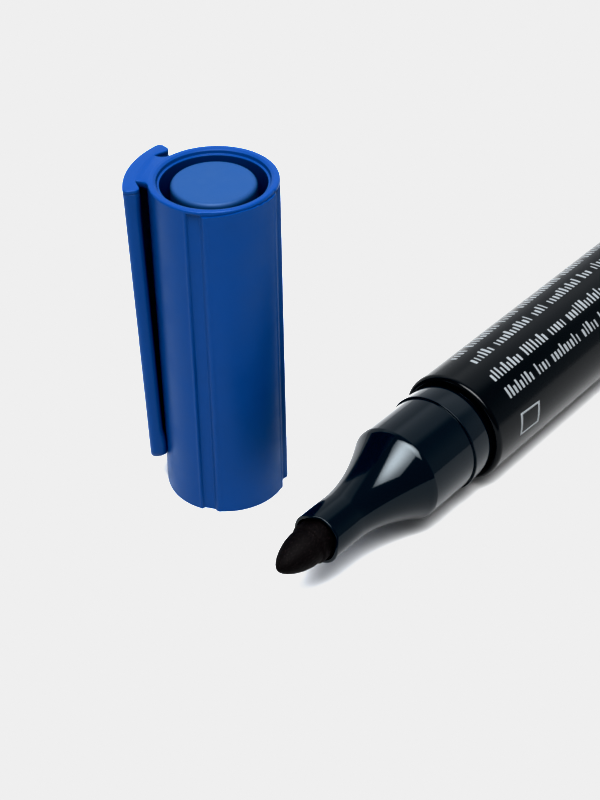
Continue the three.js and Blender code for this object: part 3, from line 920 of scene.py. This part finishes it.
# The long outer side needs rows: a few for its length, and many round the panel's edge.
FROM_PANEL_ROW = [-2.4, -1.9, -1.4, -1.0, -0.7, -0.45, -0.3, -0.2, -0.12, -0.06, 0, 0.02, 0.06, 0.1]
FROM_PANEL_ROW += [0.14, 0.18, 0.22]
side_rows = [8, 16, 24, 32, 40, 42, 43.5, 45] + [PANEL_ROW + off for off in FROM_PANEL_ROW]
long_side = next(i for i, p in enumerate(shell_profile) if p[0] < 2 and shell_profile[i + 1][0] > 40)
side_points = [
    (a, MOUTH_RADIUS + (TOP_RADIUS - MOUTH_RADIUS) * a / CAP_HEIGHT)
    for a in side_rows
    if a < shell_profile[long_side + 1][0] - 0.03
]
shell_profile = shell_profile[: long_side + 1] + side_points + shell_profile[long_side + 1 :]
shell = lathe("cap_shell_moulding", shell_profile[::-1], CAP, angles=shell_angles(), shape=channelled)
dress(shell, blue_cap_pp, "cap", "cap_blue", "cap_shell")

# %% [markdown]
# ## Seal cup
#
# Inside the shell sits a closed cup that seals the nib. Its end is the disc in the middle of the cap's
# top, and the dark ring round it is the gap that air can pass through if the cap is swallowed. Six ribs
# deep in that gap hold it.

# %% The seal cup
CUP_RADIUS = 5.64
CUP_BORE = 4.79
CUP_TOP = CAP_HEIGHT - 0.6
CUP_END = 0.85  # the thickness of its closed end
CUP_LIP = (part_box("cap_inner_cup")[0].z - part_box("cap_shell")[0].z) / MM
cup_corners = [
    (CUP_LIP, 5.14, 0.05),
    (CUP_LIP, CUP_RADIUS, 0.1),
    (CUP_TOP, CUP_RADIUS, 0.6),
    (CUP_TOP, 0, 0),
    (CUP_TOP - CUP_END, 0, 0),
    (CUP_TOP - CUP_END, CUP_BORE, 0.4),
    (CUP_LIP + 0.35, CUP_BORE, 0.05),
]
cup = lathe("seal_cup_moulding", opened(rounded(cup_corners))[::-1], HERE, closed=False)
grown(
    cup, ribs, ribs_paint, blue_cup_painted_sheen_pp, CAP,
    Count=6, Width=0.9, Inner=5.2, Outer=7.1, Start=CUP_LIP + 2.5, Length=12.0, Turn=30.0,
)
dress(cup, blue_cup_painted_sheen_pp, "cap", "cup_blue", "cap_inner_cup")

# %% [markdown]
# ## Clip
#
# The clip is a curved plate that leans towards the cap and hangs from a short bridge at the rim. On the
# real cap it is one moulding, and it bends where it leaves the bridge. Each slice is a rounded strip,
# drawn flat and then curled to the plate's radius. A bead thickens the inside of both edges, most of
# all near the tip, and a fine line just below the top is where the mould closed.

# %% One slice of the clip
CLIP_OUT = 11.5
CLIP_THICKNESS = 1.7
CLIP_CURVE = 13.5
CLIP_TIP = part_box("clip_arm")[0].z / MM - 0.5
CLIP_LEAN = 0.95
CLIP_REACH = 6.45  # from its middle to its edge, seen from above
CLIP_MIDDLE = CLIP_CURVE - CLIP_THICKNESS / 2  # the radius half way through the plate
CLIP_HALF = CLIP_MIDDLE * math.asin(CLIP_REACH / CLIP_CURVE)
CLIP_CORNER = 0.72
ACROSS_STEPS = 24


def strip(half, thin, corner):
    """A rounded strip as (across, through) points. It has the same number of points at every size."""
    points = []
    corners = [(-1, -1, 270), (-1, 1, 180), (1, 1, 90), (1, -1, 0)]
    for k, (side, face, first) in enumerate(corners):
        middle = (side * (half - corner), face * (thin - corner))
        for step in range(ARC_STEPS + 1):
            a = math.radians(first - 90 * step / ARC_STEPS)
            points.append((middle[0] + corner * math.cos(a), middle[1] + corner * math.sin(a)))
        if k % 2:  # after the second and fourth corners comes a long side
            far = -points[-1][0]
            for step in range(1, ACROSS_STEPS):
                share = ease(step / ACROSS_STEPS, 0, 1)
                points.append((far * (2 * share - 1), face * thin))
    return points


def slice_points(height, inset, bead, narrow):
    """The clip's outline at one height, drawn in by inset. bead thickens the inside of both edges, and
    narrow takes a little off its width."""
    half = CLIP_HALF - inset - narrow
    middle = CLIP_OUT - CLIP_CURVE - CLIP_LEAN * (CAP_HEIGHT - height) / (CAP_HEIGHT - CLIP_TIP)
    points = []
    for across, through in strip(half, CLIP_THICKNESS / 2 - inset, max(CLIP_CORNER - inset, 0.06)):
        if through < 0:
            through -= bead * ease(abs(across), half * 0.55, half * 0.9)
        angle = across / CLIP_MIDDLE
        reach = CLIP_MIDDLE + through
        points.append((middle + reach * math.cos(angle), reach * math.sin(angle), height))
    return points


# %% Where the slices are
MOULD_LINE = CAP_HEIGHT - 0.55
TOP_ROUND = 0.2
TOP_OUT = 0.02  # how far the part above the mould line stands out
TIP_ROUND = 0.75
BEAD = 0.34
TIP_BEAD = 0.66
TOP_BEAD = 0.12  # added to the plain one near the top
TIP_NARROW = 0.5
TOP_WIDER = 0.08


def clip_slices():
    """(height, inset, bead, narrow) from the tip to the top."""
    turns = [math.pi / 2 * i / 6 for i in range(7)]
    rows = [(CLIP_TIP + TIP_ROUND * (1 - math.cos(a)), TIP_ROUND * (1 - math.sin(a)) * 0.9) for a in turns]
    rows += [(CLIP_TIP + TIP_ROUND + 0.35 * i, 0) for i in range(1, 14)]
    rows += [(z, 0) for z in np.arange(CLIP_TIP + 5.9, MOULD_LINE - 0.4, 0.9)]
    rows += [(MOULD_LINE - 0.14, 0), (MOULD_LINE - 0.07, 0), (MOULD_LINE, 0.07)]
    rows += [(MOULD_LINE + 0.05, -TOP_OUT / 2), (MOULD_LINE + 0.12, -TOP_OUT)]
    rows += [(CAP_HEIGHT - TOP_ROUND - 0.06, -TOP_OUT)]
    for a in turns:
        rows.append((CAP_HEIGHT - TOP_ROUND * (1 - math.sin(a)), TOP_ROUND * (1 - math.cos(a)) - TOP_OUT))
    made = []
    for height, inset in rows:
        above = height - CLIP_TIP
        bead = max(TIP_BEAD * (1 - ease(above, 2.5, 8)), BEAD) * ease(above, 0.1, 0.9)
        bead += TOP_BEAD * ease(height, CAP_HEIGHT - 4, CAP_HEIGHT - 1)
        narrow = TIP_NARROW * (1 - ease(above, 0, 1.4)) - TOP_WIDER * ease(height, CAP_HEIGHT - 4, MOULD_LINE)
        made.append((float(height), inset, bead, narrow))
    return made


# %% Loft the clip
def loft(name, slices, place):
    """Joins slices of equal length into a closed skin, with a face over each end."""
    vertices = [p for points in slices for p in points]
    n = len(slices[0])
    faces = []
    for k in range(len(slices) - 1):
        for i in range(n):
            j = (i + 1) % n
            faces.append((k * n + i, k * n + j, (k + 1) * n + j, (k + 1) * n + i))
    faces.append(tuple(range(n))[::-1])
    faces.append(tuple(range((len(slices) - 1) * n, len(slices) * n)))
    return finished(name, vertices, faces, place)


clip = loft("clip_moulding", [slice_points(*row) for row in clip_slices()], HERE)
print("clip slices:", len(clip_slices()))

# %% The bridge
# Seen from above, the bridge flares into the rim at one end and into the plate at the other.
BRIDGE_HALF = 3.3
BRIDGE_LOW = CAP_HEIGHT - 1.0
BRIDGE_TOP = CAP_HEIGHT - 0.01  # a hair below the rim, so that the two flat tops don't flicker
BRIDGE_ROOT = 7.9  # its inner end follows the rim's flat top at this radius
BRIDGE_START = (7.45, 4.1)  # where its side leaves the shell, by a fillet
BRIDGE_END = 10.6  # inside the plate
FILLET_FADE = 0.4
FLARE = 0.9  # how wide it is at its foot, inside the plate
FLARE_FOOT = 10.2
FLARE_FADE = 0.45
SIDE_STEPS = 28


def bridge_outline(inset):
    """The bridge from above: (along X, across Y). A fillet meets the shell, a flare meets the plate."""
    side = []
    for step in range(SIDE_STEPS + 1):
        x = BRIDGE_START[0] + (BRIDGE_END - BRIDGE_START[0]) * step / SIDE_STEPS
        fillet = (BRIDGE_START[1] - BRIDGE_HALF) * math.exp(-(x - BRIDGE_START[0]) / FILLET_FADE)
        flare = FLARE * math.exp(-max(FLARE_FOOT - x, 0) / FLARE_FADE)
        side.append((x, BRIDGE_HALF + fillet + flare - inset))
    end = math.atan2(side[0][1], side[0][0])
    root = [end * (step / 8 - 1) for step in range(1, 16)]
    return side + [(x, -y) for x, y in side[::-1]] + [
        (BRIDGE_ROOT * math.cos(a), BRIDGE_ROOT * math.sin(a)) for a in root
    ]


# (height, inset), with rounded edges below and above
bridge_rows = [(BRIDGE_LOW, 0.25), (BRIDGE_LOW + 0.08, 0.08), (BRIDGE_LOW + 0.25, 0)]
bridge_rows += [(BRIDGE_TOP - 0.3, 0), (BRIDGE_TOP - 0.12, 0.05), (BRIDGE_TOP - 0.04, 0.14)]
bridge_rows += [(BRIDGE_TOP, 0.3)]
bridge = loft("bridge", [[(x, y, z) for x, y in bridge_outline(inset)] for z, inset in bridge_rows], HERE)

# %% Weld the bridge to the clip
FACES_IN = -0.8  # a face whose normal points at the cap at least this much is on the inner side
weld = clip.modifiers.new("weld", "BOOLEAN")
weld.operation = "UNION"
weld.solver = "EXACT"
weld.object = bridge
welded = applied(clip, weld)
inside = [
    face.normal.x < FACES_IN and face.center.z < BRIDGE_LOW - 0.1 and face.center.x > 5
    for face in welded.polygons
]
welded.transform(CAP)
welded.shade_smooth()
welded.set_sharp_from_angle(angle=SHARP)
bpy.data.objects.remove(bridge)

# %% Two finishes
dress(clip, blue_cap_pp, None, "cap_blue", "clip_arm")
welded.materials.append(blue_rough_pp)
for face, hidden in zip(welded.polygons, inside):
    face.material_index = int(hidden)
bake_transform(clip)

# %% [markdown]
# ## Reservoir and film
#
# The ink reservoir and its film are plain rods that nothing shows, and their CAD solids are right as they
# are. They keep those solids and get their own materials.

# %% The two pieces that keep their CAD solids
for node, material in (("ink_reservoir", reservoir_fibre), ("reservoir_film", clear_film)):
    kept = frame["nodes"][node]
    kept.data.materials.clear()
    kept.data.materials.append(material)

# %% [markdown]
# ## Floor and light
#
# The photograph is a plain studio shot on a pale sheet, with one large softbox above the nose. The cone
# mirrors it as a pale teardrop, so its place and size were worked out from that reflection. Black
# plastic shows little of its own colour, so what it mirrors makes its look. The surround is dim, which
# keeps the nose black, but for a bright band low behind the marker and a pale patch higher up there,
# which the upper edges of the nose and the barrel mirror.

# %% Floor
SHEET = 1.5  # metres, half of its side
floor_mesh = bpy.data.meshes.new("floor")
floor_mesh.from_pydata(
    [(-SHEET, -SHEET, 0), (SHEET, -SHEET, 0), (SHEET, SHEET, 0), (-SHEET, SHEET, 0)], [], [(0, 1, 2, 3)]
)
floor = bpy.data.objects.new("floor", floor_mesh)
bpy.context.scene.collection.objects.link(floor)
paper = bpy.data.materials.new("pale_paper")
paper.use_nodes = True
paper_shader = paper.node_tree.nodes["Principled BSDF"]
paper_shader.inputs["Base Color"].default_value = linear("#d8d8d8")
paper_shader.inputs["Roughness"].default_value = 0.9
paper_shader.inputs["Specular IOR Level"].default_value = 0.1
floor_mesh.materials.append(paper)

# %% Softbox
NOSE = MARKER @ Vector((0, 0, -18))  # on the marker's axis, inside the cone
BOX_HEIGHT = 3.0  # metres; the three vectors are shares of it
BOX_POWER = 250
BOX_CORNER = Vector((0.19, -0.41, 1)) * BOX_HEIGHT  # from the nose; the corner that makes the drop's point
BOX_LONG = Vector((-0.39, 0.73, 0)) * BOX_HEIGHT
BOX_SHORT = Vector((-0.286, -0.153, -0.464)) * BOX_HEIGHT
lamp_data = bpy.data.lights.new("softbox", "AREA")
lamp_data.shape = "RECTANGLE"
lamp_data.size = BOX_LONG.length
lamp_data.size_y = BOX_SHORT.length
lamp_data.energy = BOX_POWER
lamp = bpy.data.objects.new("softbox", lamp_data)
sides = [BOX_LONG.normalized(), BOX_SHORT.normalized()]
lamp.matrix_world = Matrix.Translation(NOSE + BOX_CORNER + (BOX_LONG + BOX_SHORT) / 2) @ Matrix(
    (sides[0], sides[1], sides[0].cross(sides[1]))
).transposed().to_4x4()
bpy.context.scene.collection.objects.link(lamp)
# A softbox is brightest in its middle, which also gives the mirrored drop its soft shading.
lamp_data.use_nodes = True
tree = lamp_data.node_tree
spot = add(tree, "ShaderNodeNewGeometry").outputs["Parametric"]
flat = add(tree, "ShaderNodeVectorMath", {0: spot, 1: (1, 1, 0)}, operation="MULTIPLY").outputs[0]
reach = add(tree, "ShaderNodeVectorMath", {0: flat, 1: (0.5, 0.5, 0)}, operation="DISTANCE").outputs["Value"]
share = add(
    tree,
    "ShaderNodeMapRange",
    {"Value": reach, "From Min": 0.05, "From Max": 0.7, "To Min": 1.0, "To Max": 0.3},
    interpolation_type="SMOOTHSTEP",
).outputs["Result"]
tree.links.new(share, tree.nodes["Emission"].inputs["Strength"])
print(f"softbox {lamp_data.size:.2f} x {lamp_data.size_y:.2f} m")

# %% Surround
AWAY = (0.758, 0.652, 0)  # level, away from the camera
BAND_TILT = 0.45  # how steeply the band climbs behind the marker
DIM = 0.41  # the light from everywhere
BAND = 0.72  # what the band adds
world = bpy.data.worlds.new("studio")
bpy.context.scene.world = world
world.use_nodes = True
tree = world.node_tree
tree.nodes.clear()
way = add(tree, "ShaderNodeTexCoord").outputs["Generated"]
up = add(tree, "ShaderNodeSeparateXYZ", {0: way}).outputs["Z"]
away = add(tree, "ShaderNodeVectorMath", {0: way, 1: AWAY}, operation="DOT_PRODUCT").outputs["Value"]
drop = add(tree, "ShaderNodeMath", {0: away, 1: BAND_TILT}, operation="MULTIPLY")
height = add(tree, "ShaderNodeMath", {0: up, 1: drop}, operation="SUBTRACT")
fades = {}
for name, value, start, end, before, after in (
    ("band", height, 0.2, 0.65, 1.0, 0.0),
    ("sides", away, -0.35, 0.3, 0.05, 1.0),
    ("behind", away, 0.3, 0.45, 0.0, 1.0),
    ("above", up, 0.5, 0.66, 0.0, 0.85),
):
    fades[name] = add(
        tree,
        "ShaderNodeMapRange",
        {"Value": value, "From Min": start, "From Max": end, "To Min": before, "To Max": after},
        interpolation_type="SMOOTHSTEP",
    )
patch = add(tree, "ShaderNodeMath", {0: fades["behind"], 1: fades["above"]}, operation="MULTIPLY")
low_band = add(tree, "ShaderNodeMath", {0: fades["band"], 1: fades["sides"]}, operation="MULTIPLY")
strong = add(tree, "ShaderNodeMath", {0: low_band, 1: BAND}, operation="MULTIPLY")
around = add(tree, "ShaderNodeMath", {0: strong, 1: DIM}, operation="ADD")
bright = add(tree, "ShaderNodeMath", {0: around, 1: patch}, operation="ADD")
glow = add(tree, "ShaderNodeBackground", {"Color": (0.98, 1.0, 1.03, 1), "Strength": bright})
add(tree, "ShaderNodeOutputWorld", {"Surface": glow})

# %% [markdown]
# ## Camera and levels
#
# The camera's place, direction and focal length come from a fit to the outlines of the cap and the
# marker. The photograph's whites are flattened to one pale grey and its darks are crushed. A curve on
# the view does the same, which leaves the base colours those of the real materials, but for the seal
# cup's greyer blue, which is painted sheen.

# %% Camera
PICTURE_HEIGHT = 800  # pixels; the longer side, which the sensor spans
FOCAL_PIXELS = 1732.1
SENSOR = 36  # mm
CAMERA_PLACE = Vector((-183.86, -122.44, 161.33)) * MM
camera_data = bpy.data.cameras.new("camera")
camera_data.sensor_width = SENSOR
camera_data.lens = FOCAL_PIXELS * SENSOR / PICTURE_HEIGHT
camera_data.clip_start = 0.01
camera = bpy.data.objects.new("camera", camera_data)
forward = Vector((0.5999, 0.5160, -0.6114)).normalized()
up = Vector((0.4733, 0.3872, 0.7913))
right = forward.cross(up).normalized()
up = right.cross(forward)
turn = Matrix((right, up, -forward)).transposed().to_4x4()
camera.matrix_world = Matrix.Translation(CAMERA_PLACE) @ turn
bpy.context.scene.collection.objects.link(camera)
bpy.context.scene.camera = camera
print(f"lens {camera_data.lens:.1f} mm")

# %% Levels
view = bpy.context.scene.view_settings
view.view_transform = "Standard"
view.use_curve_mapping = True
LEVELS = [(0, 0), (0.018, 0.001), (0.028, 0.004), (0.043, 0.0105), (0.064, 0.021), (0.105, 0.045),
          (0.2, 0.125), (0.3, 0.248), (0.38, 0.37), (0.45, 0.505), (0.52, 0.675), (0.58, 0.83), (0.62, 0.863),
          (1.9, 0.863), (2.5, 1.0)]
mapping = view.curve_mapping
mapping.clip_max_x = LEVELS[-1][0]
curve = mapping.curves[3]
curve.points[0].location = LEVELS[0]
curve.points[1].location = LEVELS[-1]
for spot in LEVELS[1:-1]:
    curve.points.new(*spot)
for point in curve.points:
    point.handle_type = "AUTO_CLAMPED"
mapping.update()
print("levels:", len(curve.points), "points")
